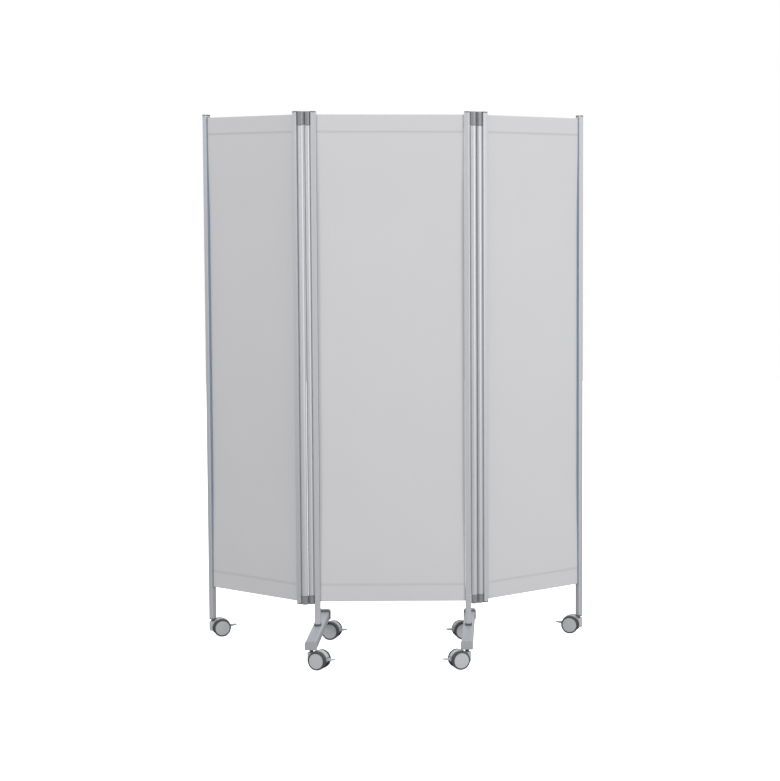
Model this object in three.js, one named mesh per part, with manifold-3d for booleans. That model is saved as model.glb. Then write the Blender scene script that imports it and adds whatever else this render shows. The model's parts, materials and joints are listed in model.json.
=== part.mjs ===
// A folding ward screen. Three framed sheets stand side by side on twin-wheel casters. The middle
// panel stands on two cross feet, and a wing hangs on each of its posts by a double-axis hinge.
import * as THREE from 'three';
import { mergeVertices } from 'three/addons/utils/BufferGeometryUtils.js';
import Module from 'manifold-3d';

const wasm = await Module();
wasm.setup();

// All lengths are in millimetres and all angles in degrees.
const screenHeight = 1650;
const middlePostSpacing = 461;
const wingPostSpacing = 382;
const planeToOrigin = 28;
const seatGap = 0.3;
const cutOverrun = 2;

// How the screen stands in the photograph: turns of each hinge axis, backwards is positive
const leftLinkTurn = -20;
const leftWingTurn = 57;
const rightLinkTurn = 30;
const rightWingTurn = 8.5;

// Post: a channel section with a plate across each free end. Its mouth faces the sheet, and is
// closed by a cover strip from the foot up to the sheet.
const post = {
  width: 17, depth: 19, corner: 3.5,
  mouth: 8, lip: 2.5, channelWidth: 14, channelDepth: 12,
  plate: 3, wingFoot: 152, plugFoot: 55,
};

// Double-axis hinge: a round bead on each post, and a two-barrel block on each end of the beads
const hinge = {
  spacing: 20, reach: 18.5, beadRadius: 9.25, web: 7, webRoot: 1.5,
  pinRadius: 4, pinClearance: 0.07, pinLength: 30,
  barrelRadius: 9.4, waist: 9, topBlock: 41, bottomBlock: 26,
};

// Sheet: a vinyl-coated cloth with a sewn pocket round a flat rail at the head and the foot
const sheet = { foot: 160, headDrop: 9, cloth: 1.2, hem: 50, seamHalf: 1, edgeGap: 0.5 };
const rail = { height: 38, thickness: 6, corner: 2, clearance: 0.3 };

// Cross foot: a hollow bar with a cap on each end, whose spigot takes the caster's stem. The rear
// cap also has a skirt over the bar, with a thick top.
const bar = {
  width: 34, height: 26, underside: 58.5, wall: 3, topCorner: 6, underCorner: 2,
  casterSpread: 390, overhang: 23, tenonHeight: 22,
};
const cap = {
  plate: 8, frontLip: 1.2, spigot: 32, rearSideLip: 2.5, rearTopLip: 6, rearSkirt: 13,
};
const collar = { height: 6, wall: 1.8 };

// Twin-wheel caster: the stem stands at x = 0 and the wheels trail towards +x
const caster = {
  wheelRadius: 27.5, wheelWidth: 15.5, wheelGap: 17, trail: 26, hubRadius: 22.5,
  shoulder: 2, faceStep: 0.6, hubRecess: 1.2, hubDome: 0.8, innerLip: 1.5,
  axleRadius: 3, axleInset: 3.4, runClearance: 0.06,
  hoodRadius: 29.5, hoodThickness: 15.4, hoodFoot: 24, bossRadius: 7.5,
  socketBack: 10.5, socketFront: 14, socketWidth: 25, socketCorner: 8,
  socketFoot: 19, socketHead: 48, wheelClearance: 1.4,
  neckRadius: 5.3, stemRadius: 4, stemLength: 18,
};
const pedal = {
  width: 10.4, slotClearance: 0.4, slotInner: 12, slotHead: 38,
  pivotReach: 19, pivotRise: 1.5, hubRadius: 4, tipReach: 50, tipRise: 6.2, tipThickness: 2.4,
  pinRadius: 1.5, pinLength: 1.6,
};

// Counts of flats on round pieces
const wheelSides = 24;
const hoodSides = 36;
const shaftSides = 16;
const beadSides = 24;
const smallSides = 10;
const cornerSteps = 2;
const railCornerSteps = 1;
const hubSteps = 5;

// Directions of the trail of each caster, seen from above, counter-clockwise from +x
const footCasterTurn = {
  front_left: -21, rear_left: -14, front_right: 202, rear_right: 196,
};
const wingCasterTurn = { left: 21, right: 164 };

const colours = {
  aluminium: { color: 0xb9bbbf, roughness: 0.38, metalness: 0.85 },
  foot: { color: 0xb2b7bd, roughness: 0.42, metalness: 0.7 },
  rail: { color: 0xa9abae, roughness: 0.5, metalness: 0.8 },
  sheet: { color: 0xcfcfcd, roughness: 0.75, metalness: 0 },
  hinge: { color: 0x6b6d70, roughness: 0.6, metalness: 0 },
  dark: { color: 0x55585a, roughness: 0.6, metalness: 0 },
  cap: { color: 0xa4a6a8, roughness: 0.55, metalness: 0 },
  hood: { color: 0xb4b6b8, roughness: 0.5, metalness: 0 },
  wheel: { color: 0x47494d, roughness: 0.7, metalness: 0 },
  steel: { color: 0x9c9ea1, roughness: 0.3, metalness: 1 },
};

const radians = (degrees) => (degrees * Math.PI) / 180;

// A closed geometry as a solid, and back again
function solid(geometry) {
  const bare = geometry.clone();
  bare.deleteAttribute('normal');
  bare.deleteAttribute('uv');
  const welded = mergeVertices(bare);
  const corners = welded.index.array;
  const kept = [];
  for (let i = 0; i < corners.length; i += 3) {
    const [a, b, c] = [corners[i], corners[i + 1], corners[i + 2]];
    if (a !== b && b !== c && c !== a) kept.push(a, b, c);
  }
  const vertProperties = new Float32Array(welded.attributes.position.array);
  const triVerts = new Uint32Array(kept);
  return new wasm.Manifold(new wasm.Mesh({ numProp: 3, vertProperties, triVerts }));
}

function geometryOf(body) {
  const mesh = body.getMesh();
  const geometry = new THREE.BufferGeometry();
  geometry.setAttribute('position', new THREE.BufferAttribute(mesh.vertProperties, 3));
  geometry.setIndex(new THREE.BufferAttribute(mesh.triVerts, 1));
  geometry.computeVertexNormals();
  return geometry;
}

// Basic forms
function rectangle(x0, x1, y0, y1, radius) {
  const shape = new THREE.Shape();
  shape.moveTo(x0 + radius, y0);
  shape.lineTo(x1 - radius, y0);
  shape.absarc(x1 - radius, y0 + radius, radius, -Math.PI / 2, 0);
  shape.lineTo(x1, y1 - radius);
  shape.absarc(x1 - radius, y1 - radius, radius, 0, Math.PI / 2);
  shape.lineTo(x0 + radius, y1);
  shape.absarc(x0 + radius, y1 - radius, radius, Math.PI / 2, Math.PI);
  shape.lineTo(x0, y0 + radius);
  shape.absarc(x0 + radius, y0 + radius, radius, Math.PI, Math.PI * 1.5);
  return shape;
}

function extrude(shape, length, steps = cornerSteps) {
  return new THREE.ExtrudeGeometry(shape, {
    depth: length, bevelEnabled: false, curveSegments: steps,
  });
}

// A prism that stands on z = low, and one that lies along y with its outline in x and z
function upright(shape, low, high, steps) {
  return extrude(shape, high - low, steps).translate(0, 0, low);
}

function lying(shape, y0, y1, steps) {
  return extrude(shape, y1 - y0, steps).rotateX(Math.PI / 2).translate(0, y1, 0);
}

function box(x0, x1, y0, y1, z0, z1) {
  return new THREE.BoxGeometry(x1 - x0, y1 - y0, z1 - z0).translate(
    (x0 + x1) / 2, (y0 + y1) / 2, (z0 + z1) / 2,
  );
}

function uprightRod(radius, low, high, sides = shaftSides) {
  return new THREE.CylinderGeometry(radius, radius, high - low, sides)
    .rotateX(Math.PI / 2).translate(0, 0, (low + high) / 2);
}

function crossRod(radius, halfLength, x, z, sides = shaftSides) {
  return new THREE.CylinderGeometry(radius, radius, halfLength * 2, sides).translate(x, 0, z);
}

// The radius of a faceted bore whose flats clear a shaft of this radius all round
const boreFor = (shaft, clearance, sides) => (shaft + clearance) / Math.cos(Math.PI / sides);

function union(parts) {
  return parts.reduce((whole, part) => whole.add(part));
}

function addMesh(parent, name, shape, look) {
  const geometry = shape instanceof THREE.BufferGeometry ? shape : geometryOf(shape);
  const mesh = new THREE.Mesh(geometry, new THREE.MeshStandardMaterial(colours[look]));
  mesh.name = name;
  parent.add(mesh);
  return mesh;
}

function addGroup(parent, x, y, turn) {
  const group = new THREE.Group();
  group.position.set(x, y, 0);
  group.rotation.z = radians(turn);
  parent.add(group);
  return group;
}

// Posts. The centre line of the section is at x = 0, the sheet lies towards +x.
const lipFace = post.width / 2 - post.lip;
const channelFloor = lipFace - post.channelDepth;

function postOutline() {
  return rectangle(
    -post.width / 2, post.width / 2, -post.depth / 2, post.depth / 2, post.corner,
  );
}

function postBody(foot, footPlate) {
  const hollowFoot = footPlate ? foot + post.plate : foot - cutOverrun;
  const hollowHead = screenHeight - post.plate;
  const channelHalf = post.channelWidth / 2;
  const channel = box(channelFloor, lipFace, -channelHalf, channelHalf, hollowFoot, hollowHead);
  const mouth = box(
    lipFace - cutOverrun, post.width / 2 + cutOverrun, -post.mouth / 2, post.mouth / 2,
    sheet.foot, hollowHead,
  );
  const body = solid(upright(postOutline(), foot, screenHeight));
  return body.subtract(solid(channel)).subtract(solid(mouth));
}

// The bead runs between the two hinge blocks, on a web that the section carries
const beadFoot = post.wingFoot + hinge.bottomBlock + seatGap;
const beadHead = screenHeight - hinge.topBlock - seatGap;

function bead() {
  const ring = new THREE.Shape();
  ring.absarc(0, 0, hinge.beadRadius, 0, Math.PI * 2);
  const bore = new THREE.Path();
  const boreRadius = boreFor(hinge.pinRadius, hinge.pinClearance, beadSides);
  bore.absarc(0, 0, boreRadius, 0, Math.PI * 2);
  ring.holes.push(bore);
  const tube = solid(upright(ring, beadFoot, beadHead, beadSides / 2).translate(-hinge.reach, 0, 0));
  const webEnd = -hinge.reach + hinge.beadRadius - hinge.webRoot;
  const web = box(
    webEnd, -post.width / 2 + hinge.webRoot, -hinge.web / 2, hinge.web / 2, beadFoot, beadHead,
  );
  return tube.add(solid(web));
}

// Rails and sheets, between two posts whose centre lines are this far apart
const railReach = (spacing) => spacing / 2 - channelFloor - seatGap;

// A prism that lies along x, centred on x = 0, with its outline in y and z
function across(shape, halfLength, steps) {
  return extrude(shape, halfLength * 2, steps)
    .rotateX(Math.PI / 2).rotateZ(Math.PI / 2).translate(-halfLength, 0, 0);
}

function railBody(spacing, foot) {
  const outline = rectangle(
    -rail.thickness / 2, rail.thickness / 2, foot, foot + rail.height, rail.corner,
  );
  return across(outline, railReach(spacing), railCornerSteps);
}

const sheetHead = screenHeight - sheet.headDrop;
const hemHalf = rail.thickness / 2 + rail.clearance + sheet.cloth;
const pocketHeight = rail.height + rail.clearance * 2;

// One hem's outline on the +y side, from the sheet's edge inwards
function hemEdge(edge, inwards, side) {
  const at = (y, z) => [side * y, edge + inwards * z];
  const pocketEnd = sheet.cloth + pocketHeight;
  return {
    start: at(hemHalf - sheet.cloth, 0),
    corner: [...at(hemHalf, 0), ...at(hemHalf, sheet.cloth)],
    flankEnd: at(hemHalf, pocketEnd - sheet.cloth),
    taper: [...at(hemHalf, pocketEnd), ...at(sheet.seamHalf, sheet.hem)],
    seamEnd: at(sheet.cloth / 2, sheet.hem + sheet.cloth),
  };
}

function sheetOutline() {
  const shape = new THREE.Shape();
  const corners = [
    { edge: sheet.foot, inwards: 1, side: 1, outwards: false },
    { edge: sheetHead, inwards: -1, side: 1, outwards: true },
    { edge: sheetHead, inwards: -1, side: -1, outwards: false },
    { edge: sheet.foot, inwards: 1, side: -1, outwards: true },
  ];
  corners.forEach(({ edge, inwards, side, outwards }, i) => {
    const h = hemEdge(edge, inwards, side);
    if (outwards) {
      shape.lineTo(...h.seamEnd);
      shape.lineTo(h.taper[2], h.taper[3]);
      shape.quadraticCurveTo(h.taper[0], h.taper[1], ...h.flankEnd);
      shape.lineTo(h.corner[2], h.corner[3]);
      shape.quadraticCurveTo(h.corner[0], h.corner[1], ...h.start);
    } else {
      if (i === 0) shape.moveTo(...h.start);
      else shape.lineTo(...h.start);
      shape.quadraticCurveTo(...h.corner);
      shape.lineTo(...h.flankEnd);
      shape.quadraticCurveTo(...h.taper);
      shape.lineTo(...h.seamEnd);
    }
  });
  return shape;
}

function sheetBody(spacing) {
  const outline = sheetOutline();
  const pocketHalf = rail.thickness / 2 + rail.clearance;
  const pockets = [sheet.foot + sheet.cloth, sheetHead - sheet.cloth - pocketHeight];
  for (const low of pockets) {
    const pocket = rectangle(-pocketHalf, pocketHalf, low, low + pocketHeight, rail.corner);
    outline.holes.push(pocket);
  }
  return across(outline, spacing / 2 - post.width / 2 - sheet.edgeGap, cornerSteps);
}

function addSheetAndRails(parent, prefix, spacing, centreX) {
  const railInset = sheet.cloth + rail.clearance;
  const pieces = [
    [`${prefix}_sheet`, sheetBody(spacing), 'sheet'],
    [`${prefix}_head_rail`, railBody(spacing, sheetHead - railInset - rail.height), 'rail'],
    [`${prefix}_foot_rail`, railBody(spacing, sheet.foot + railInset), 'rail'],
  ];
  for (const [name, geometry, look] of pieces) {
    addMesh(parent, name, geometry, look).position.x = centreX;
  }
}

// Hinge block: two barrels with a waist between, one pin on each axis
function hingeBlock(low, high, pinEnd) {
  const barrels = [0, hinge.spacing].map((x) => uprightRod(hinge.barrelRadius, low, high, beadSides)
    .translate(x, 0, 0));
  const waist = box(0, hinge.spacing, -hinge.waist / 2, hinge.waist / 2, low, high);
  const [pinLow, pinHigh] = pinEnd > high ? [high - cutOverrun, pinEnd] : [pinEnd, low + cutOverrun];
  const pins = [0, hinge.spacing].map((x) => uprightRod(hinge.pinRadius, pinLow, pinHigh, beadSides)
    .translate(x, 0, 0));
  return union([...barrels, waist, ...pins].map(solid));
}

// Cross feet. The post stands at the bar's middle.
const barTop = bar.underside + bar.height;
const barEnd = bar.casterSpread / 2 + bar.overhang;
const sleeveEnd = barEnd - cap.plate - seatGap;

// The bar's outline, grown on its sides, at its top and at its underside
function barSection([side, over, under], topCorner, underCorner) {
  const shape = new THREE.Shape();
  const half = bar.width / 2 + side;
  const low = bar.underside - under;
  const high = barTop + over;
  shape.moveTo(-half + underCorner, low);
  shape.lineTo(half - underCorner, low);
  shape.absarc(half - underCorner, low + underCorner, underCorner, -Math.PI / 2, 0);
  shape.lineTo(half, high - topCorner);
  shape.absarc(half - topCorner, high - topCorner, topCorner, 0, Math.PI / 2);
  shape.lineTo(-half + topCorner, high);
  shape.absarc(-half + topCorner, high - topCorner, topCorner, Math.PI / 2, Math.PI);
  shape.lineTo(-half, low + underCorner);
  shape.absarc(-half + underCorner, low + underCorner, underCorner, Math.PI, Math.PI * 1.5);
  return shape;
}

const shrunk = (by) => [-by, -by, -by];
const innerCorner = bar.topCorner - bar.wall;

function barBody() {
  const sleeve = barSection(shrunk(0), bar.topCorner, bar.underCorner);
  sleeve.holes.push(barSection(shrunk(bar.wall), innerCorner, bar.underCorner / 2));
  let body = solid(lying(sleeve, -sleeveEnd, sleeveEnd));
  const tenonX = post.channelDepth / 2 - seatGap;
  const tenonY = post.channelWidth / 2 - seatGap;
  const tenon = box(-tenonX, tenonX, -tenonY, tenonY, barTop - cutOverrun, barTop + bar.tenonHeight);
  body = body.add(solid(tenon));
  const hole = boreFor(caster.stemRadius, caster.runClearance, shaftSides);
  for (const y of [-bar.casterSpread / 2, bar.casterSpread / 2]) {
    const cut = uprightRod(hole, bar.underside - cutOverrun, bar.underside + bar.wall + cutOverrun);
    body = body.subtract(solid(cut.translate(0, y, 0)));
  }
  return body;
}

// A cap on the +y end: a plate, a spigot in the bar with the stem's bore, and a skirt over the bar
function capBody(sideLip, topLip, skirt) {
  const plateFoot = barEnd - cap.plate;
  const face = barSection([sideLip, topLip, 0], bar.topCorner + sideLip, bar.underCorner);
  const shell = solid(lying(face, plateFoot - skirt, barEnd));
  const around = [seatGap, seatGap, cutOverrun];
  const room = barSection(around, bar.topCorner + seatGap, bar.underCorner);
  const hollow = solid(lying(room, plateFoot - skirt - cutOverrun, plateFoot));
  const corner = innerCorner - seatGap;
  const inside = shrunk(bar.wall + seatGap);
  const fill = barSection(inside, corner, (bar.underCorner - seatGap) / 2);
  const spigot = solid(lying(fill, plateFoot - cap.spigot, barEnd - cap.plate / 2));
  const hole = boreFor(caster.stemRadius, caster.runClearance, shaftSides);
  const bore = uprightRod(hole, bar.underside, bar.underside + caster.stemLength)
    .translate(0, bar.casterSpread / 2, 0);
  return shell.subtract(hollow).add(spigot).subtract(solid(bore));
}

function collarBody() {
  const reach = collar.wall + seatGap;
  const ring = rectangle(
    -post.width / 2 - reach, post.width / 2 + reach,
    -post.depth / 2 - reach, post.depth / 2 + reach, post.corner + reach,
  );
  const hole = rectangle(
    -post.width / 2 - seatGap, post.width / 2 + seatGap,
    -post.depth / 2 - seatGap, post.depth / 2 + seatGap, post.corner + seatGap,
  );
  ring.holes.push(hole);
  return upright(ring, barTop + seatGap, barTop + seatGap + collar.height);
}

// Plug in the foot of a wing's outer post: a plate below the post and a spigot up its channel
function plugBody() {
  const plateTop = post.plugFoot + post.plate;
  const plate = solid(upright(postOutline(), post.plugFoot, plateTop));
  const channelMiddle = (channelFloor + lipFace) / 2;
  const halfX = post.channelDepth / 2 - seatGap;
  const halfY = post.channelWidth / 2 - seatGap;
  const head = post.plugFoot + caster.stemLength + post.plate;
  const spigot = box(
    channelMiddle - halfX, channelMiddle + halfX, -halfY, halfY, plateTop - cutOverrun, head,
  );
  const hole = boreFor(caster.stemRadius, caster.runClearance, shaftSides);
  const bore = uprightRod(hole, post.plugFoot - cutOverrun, post.plugFoot + caster.stemLength);
  return plate.add(solid(spigot)).subtract(solid(bore));
}

// Caster housing: a hood plate between the wheels, open below, and a socket block that wraps
// round their rims
function housingBody(neckHead) {
  const c = caster;
  const axleHeight = c.wheelRadius;
  const hood = solid(crossRod(c.hoodRadius, c.hoodThickness / 2, c.trail, axleHeight, hoodSides));
  const below = box(
    c.trail - c.hoodRadius - cutOverrun, c.trail + c.hoodRadius + cutOverrun,
    -c.hoodThickness, c.hoodThickness, axleHeight - c.hoodRadius - cutOverrun, c.hoodFoot,
  );
  const block = rectangle(
    -c.socketBack, c.socketFront, -c.socketWidth / 2, c.socketWidth / 2, c.socketCorner,
  );
  const rim = c.wheelRadius / Math.cos(Math.PI / wheelSides) + c.wheelClearance;
  let socket = solid(upright(block, c.socketFoot, c.socketHead, cornerSteps));
  for (const side of [-1, 1]) {
    const y = side * (c.hoodThickness / 2 + c.socketWidth / 2);
    const room = crossRod(rim, c.socketWidth / 2, c.trail, axleHeight, hoodSides);
    socket = socket.subtract(solid(room.translate(0, y, 0)));
  }
  const neck = uprightRod(c.neckRadius, c.socketHead - cutOverrun, neckHead);
  const stem = uprightRod(c.stemRadius, neckHead - cutOverrun, neckHead + c.stemLength);
  const boss = crossRod(c.bossRadius, c.wheelGap / 2 - seatGap, c.trail, axleHeight);
  const axleBore = boreFor(c.axleRadius, c.runClearance, shaftSides);
  const bore = crossRod(axleBore, c.wheelGap, c.trail, axleHeight);
  const slotHalf = pedal.width / 2 + pedal.slotClearance;
  const slot = box(
    c.trail + pedal.slotInner, c.trail + c.hoodRadius + cutOverrun, -slotHalf, slotHalf,
    c.hoodFoot - cutOverrun, pedal.slotHead,
  );
  const pinBore = boreFor(pedal.pinRadius, c.runClearance, smallSides);
  const pinHalf = pedal.width / 2 + pedal.pinLength + c.runClearance;
  const pinHole = crossRod(
    pinBore, pinHalf, c.trail + pedal.pivotReach, axleHeight + pedal.pivotRise, smallSides,
  );
  const shell = hood.subtract(solid(below)).add(socket);
  const whole = union([shell, solid(neck), solid(stem), solid(boss)]);
  return whole.subtract(solid(bore)).subtract(solid(slot)).subtract(solid(pinHole));
}

// One wheel: a tyre with chamfered shoulders, and a domed disc on the side away from the hood
function wheelBody() {
  const c = caster;
  const inner = c.wheelGap / 2;
  const outer = inner + c.wheelWidth;
  const bore = boreFor(c.axleRadius, c.runClearance, wheelSides);
  const profile = [
    [bore, inner],
    [c.wheelRadius - c.innerLip, inner],
    [c.wheelRadius, inner + c.shoulder],
    [c.wheelRadius, outer - c.shoulder - c.faceStep],
    [c.wheelRadius - c.shoulder, outer - c.faceStep],
    [c.hubRadius, outer],
    [c.hubRadius - c.faceStep, outer - c.hubRecess],
    [0, outer - c.hubRecess + c.hubDome],
    [0, outer - c.axleInset + seatGap],
    [bore, outer - c.axleInset + seatGap],
    [bore, inner],
  ];
  const flats = 1 / Math.cos(Math.PI / wheelSides);
  const points = profile.map(([r, y]) => new THREE.Vector2(r > bore ? r * flats : r, y));
  return new THREE.LatheGeometry(points, wheelSides).rotateY(Math.PI / wheelSides);
}

// The pedal: a round hub on the pivot pin, and an arm that thins towards its tip
function pedalBody() {
  const x = caster.trail + pedal.pivotReach;
  const z = caster.wheelRadius + pedal.pivotRise;
  const tipX = caster.trail + pedal.tipReach;
  const tipZ = caster.wheelRadius + pedal.tipRise;
  const t = pedal.tipThickness;
  const shape = new THREE.Shape();
  shape.absarc(x, z, pedal.hubRadius, Math.PI / 2, -Math.PI / 2);
  shape.lineTo(tipX - t, tipZ - t);
  shape.quadraticCurveTo(tipX, tipZ - t, tipX, tipZ - t / 2);
  shape.quadraticCurveTo(tipX, tipZ, tipX - t, tipZ);
  const arm = solid(lying(shape, -pedal.width / 2, pedal.width / 2, hubSteps));
  const pin = crossRod(pedal.pinRadius, pedal.width / 2 + pedal.pinLength, x, z, smallSides);
  return arm.add(solid(pin));
}

function addCaster(parent, prefix, x, y, turn, underside) {
  const group = addGroup(parent, x, y, turn);
  const c = caster;
  addMesh(group, `${prefix}_caster_housing`, housingBody(underside - seatGap), 'hood');
  const half = c.wheelGap / 2 + c.wheelWidth - c.axleInset;
  addMesh(group, `${prefix}_caster_axle`, crossRod(c.axleRadius, half, c.trail, c.wheelRadius), 'steel');
  for (const [side, turned] of [['a', 0], ['b', Math.PI]]) {
    const wheel = addMesh(group, `${prefix}_wheel_${side}`, wheelBody(), 'wheel');
    wheel.position.set(c.trail, 0, c.wheelRadius);
    wheel.rotation.z = turned;
  }
  addMesh(group, `${prefix}_brake_pedal`, pedalBody(), 'hood');
}

// The middle panel with its feet
const screen = new THREE.Group();
const middle = addGroup(screen, 0, -planeToOrigin, 0);
const middleHalf = middlePostSpacing / 2;
const sides = [
  { name: 'left', sign: -1, link: leftLinkTurn, wing: leftWingTurn },
  { name: 'right', sign: 1, link: rightLinkTurn, wing: rightWingTurn },
];

addSheetAndRails(middle, 'middle', middlePostSpacing, 0);

for (const { name, sign } of sides) {
  const holder = addGroup(middle, sign * middleHalf, 0, sign > 0 ? 180 : 0);
  addMesh(holder, `middle_${name}_post`, postBody(barTop + seatGap, false).add(bead()), 'aluminium');
  addMesh(holder, `${name}_foot_collar`, collarBody(), 'dark');
  const foot = addGroup(middle, sign * middleHalf, 0, 0);
  addMesh(foot, `${name}_foot_bar`, barBody(), 'foot');
  const rearCap = capBody(cap.rearSideLip, cap.rearTopLip, cap.rearSkirt);
  const frontCap = capBody(cap.frontLip, cap.frontLip, 0);
  addMesh(foot, `${name}_foot_rear_cap`, rearCap, 'cap');
  addMesh(foot, `${name}_foot_front_cap`, frontCap, 'cap').rotation.z = Math.PI;
  for (const [end, y] of [['front', -bar.casterSpread / 2], ['rear', bar.casterSpread / 2]]) {
    const prefix = `${end}_${name}`;
    addCaster(foot, prefix, 0, y, footCasterTurn[prefix], bar.underside);
  }
}

// Links and wings. Each group's origin is a hinge axis, and its +x points outwards.
for (const { name, sign, link, wing } of sides) {
  const outwards = sign > 0 ? 0 : 180;
  const axisX = sign * (middleHalf + hinge.reach);
  const linkGroup = addGroup(middle, axisX, 0, outwards + sign * link);
  const headLow = screenHeight - hinge.topBlock;
  const footHigh = post.wingFoot + hinge.bottomBlock;
  const headBlock = hingeBlock(headLow, screenHeight, headLow - hinge.pinLength);
  const footBlock = hingeBlock(post.wingFoot, footHigh, footHigh + hinge.pinLength);
  addMesh(linkGroup, `${name}_head_hinge_block`, headBlock, 'hinge');
  addMesh(linkGroup, `${name}_foot_hinge_block`, footBlock, 'hinge');

  const wingGroup = addGroup(linkGroup, hinge.spacing, 0, sign * wing);
  const innerX = hinge.reach;
  const outerX = innerX + wingPostSpacing;
  const innerPost = addMesh(
    wingGroup, `${name}_wing_inner_post`, postBody(post.wingFoot, true).add(bead()), 'aluminium',
  );
  innerPost.position.x = innerX;
  const outerHolder = addGroup(wingGroup, outerX, 0, 180);
  const outerFoot = post.plugFoot + post.plate + seatGap;
  addMesh(outerHolder, `${name}_wing_outer_post`, postBody(outerFoot, false), 'aluminium');
  addMesh(outerHolder, `${name}_wing_foot_plug`, plugBody(), 'dark');
  addSheetAndRails(wingGroup, `${name}_wing`, wingPostSpacing, (innerX + outerX) / 2);
  const heading = outwards + sign * (link + wing);
  addCaster(wingGroup, `wing_${name}`, outerX, 0, wingCasterTurn[name] - heading, post.plugFoot);
}

export default screen;
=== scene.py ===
import json
import math

import bmesh
import bpy
from mathutils import Matrix, Vector


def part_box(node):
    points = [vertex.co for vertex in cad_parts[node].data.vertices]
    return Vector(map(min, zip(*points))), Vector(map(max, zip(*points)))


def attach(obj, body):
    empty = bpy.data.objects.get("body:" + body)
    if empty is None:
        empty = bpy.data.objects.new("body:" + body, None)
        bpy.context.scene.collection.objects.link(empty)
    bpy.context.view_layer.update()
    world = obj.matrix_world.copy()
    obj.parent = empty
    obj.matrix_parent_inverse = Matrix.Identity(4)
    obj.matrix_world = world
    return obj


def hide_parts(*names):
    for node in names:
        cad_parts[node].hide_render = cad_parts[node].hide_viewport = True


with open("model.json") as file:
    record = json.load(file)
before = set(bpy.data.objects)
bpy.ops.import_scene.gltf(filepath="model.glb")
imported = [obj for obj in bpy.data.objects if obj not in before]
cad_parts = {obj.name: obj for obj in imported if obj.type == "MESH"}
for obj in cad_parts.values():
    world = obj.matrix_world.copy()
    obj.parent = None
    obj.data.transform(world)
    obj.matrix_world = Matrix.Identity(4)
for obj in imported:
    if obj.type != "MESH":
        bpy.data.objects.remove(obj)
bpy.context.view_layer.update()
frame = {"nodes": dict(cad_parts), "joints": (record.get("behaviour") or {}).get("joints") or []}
nodes = frame["nodes"]
joints = {joint["name"]: joint for joint in frame["joints"]}
scene = bpy.context.scene
print("frame loaded with", len(nodes), "nodes")

mm = 0.001


# Camera, at the photograph's viewing angle
cameraView = {
    "place": (0.3494, -5.7686, 1.3710),
    "turn": -1.197,
    "tilt": -4.316,
    "lens": 87.36,
    "shift": (-0.20, -0.055),
}


def addCamera():
    lens = bpy.data.cameras.new("viewCamera")
    lens.lens = cameraView["lens"]
    lens.shift_x, lens.shift_y = cameraView["shift"]
    camera = bpy.data.objects.new("viewCamera", lens)
    camera.location = cameraView["place"]
    camera.rotation_euler = (math.radians(90 + cameraView["tilt"]), 0, math.radians(cameraView["turn"]))
    scene.collection.objects.link(camera)
    scene.camera = camera


addCamera()
print("camera set")


# Studio: a pale floor, a white surround and three large soft lights
studio = {
    "floorRadius": 9.0,
    "floorSides": 96,
    "floorRoughness": 0.9,
    "floorSpecular": 0.1,
    "floorColour": (0.9, 0.9, 0.9, 1),
    "floorGlow": 1.0,
    "floorBounce": (0.3, 0.3, 0.3, 1),
    "surroundColour": (1, 1, 1, 1),
    "surroundSeen": 1.0,
    "surroundLight": 0.88,
    "lightsAim": (0, 0, 0.85),
}
softLights = [
    {"name": "keyLight", "place": (3.8, -3.3, 1.7), "size": 2.4, "power": 96},
    {"name": "fillLight", "place": (-3.9, -3.5, 2.9), "size": 2.2, "power": 66},
    {"name": "topLight", "place": (0.0, 0.6, 4.6), "size": 3.5, "power": 20},
]


def addNode(tree, kind, inputs=None, **settings):
    made = tree.nodes.new(kind)
    for name, value in settings.items():
        setattr(made, name, value)
    for name, value in (inputs or {}).items():
        if isinstance(value, bpy.types.NodeSocket):
            tree.links.new(value, made.inputs[name])
        else:
            made.inputs[name].default_value = value
    return made


# The second shader is what the picture shows, the first is what lights the object
def seenOnly(tree, lighting, seen, output):
    path = addNode(tree, "ShaderNodeLightPath")
    mix = addNode(tree, "ShaderNodeMixShader", {"Fac": path.outputs["Is Camera Ray"]})
    tree.links.new(lighting.outputs[0], mix.inputs[1])
    tree.links.new(seen.outputs[0], mix.inputs[2])
    tree.links.new(mix.outputs[0], output.inputs["Surface"])


def addFloor():
    bm = bmesh.new()
    bmesh.ops.create_circle(bm, cap_ends=True, segments=studio["floorSides"], radius=studio["floorRadius"])
    mesh = bpy.data.meshes.new("studioFloor")
    bm.to_mesh(mesh)
    bm.free()
    floor = bpy.data.objects.new("studioFloor", mesh)
    scene.collection.objects.link(floor)
    material = bpy.data.materials.new("floorPaint")
    material.use_nodes = True
    tree = material.node_tree
    shader = tree.nodes["Principled BSDF"]
    shader.inputs["Base Color"].default_value = studio["floorColour"]
    shader.inputs["Emission Color"].default_value = studio["floorColour"]
    shader.inputs["Emission Strength"].default_value = studio["floorGlow"]
    shader.inputs["Roughness"].default_value = studio["floorRoughness"]
    shader.inputs["Specular IOR Level"].default_value = studio["floorSpecular"]
    bounce = addNode(tree, "ShaderNodeBsdfDiffuse", {"Color": studio["floorBounce"]})
    seenOnly(tree, bounce, shader, tree.nodes["Material Output"])
    mesh.materials.append(material)


def addSurround():
    world = bpy.data.worlds.new("studioSurround")
    world.use_nodes = True
    tree = world.node_tree
    seen = tree.nodes["Background"]
    seen.inputs["Color"].default_value = studio["surroundColour"]
    seen.inputs["Strength"].default_value = studio["surroundSeen"]
    lighting = addNode(tree, "ShaderNodeBackground",
                       {"Color": studio["surroundColour"], "Strength": studio["surroundLight"]})
    seenOnly(tree, lighting, seen, tree.nodes["World Output"])
    scene.world = world


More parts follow.
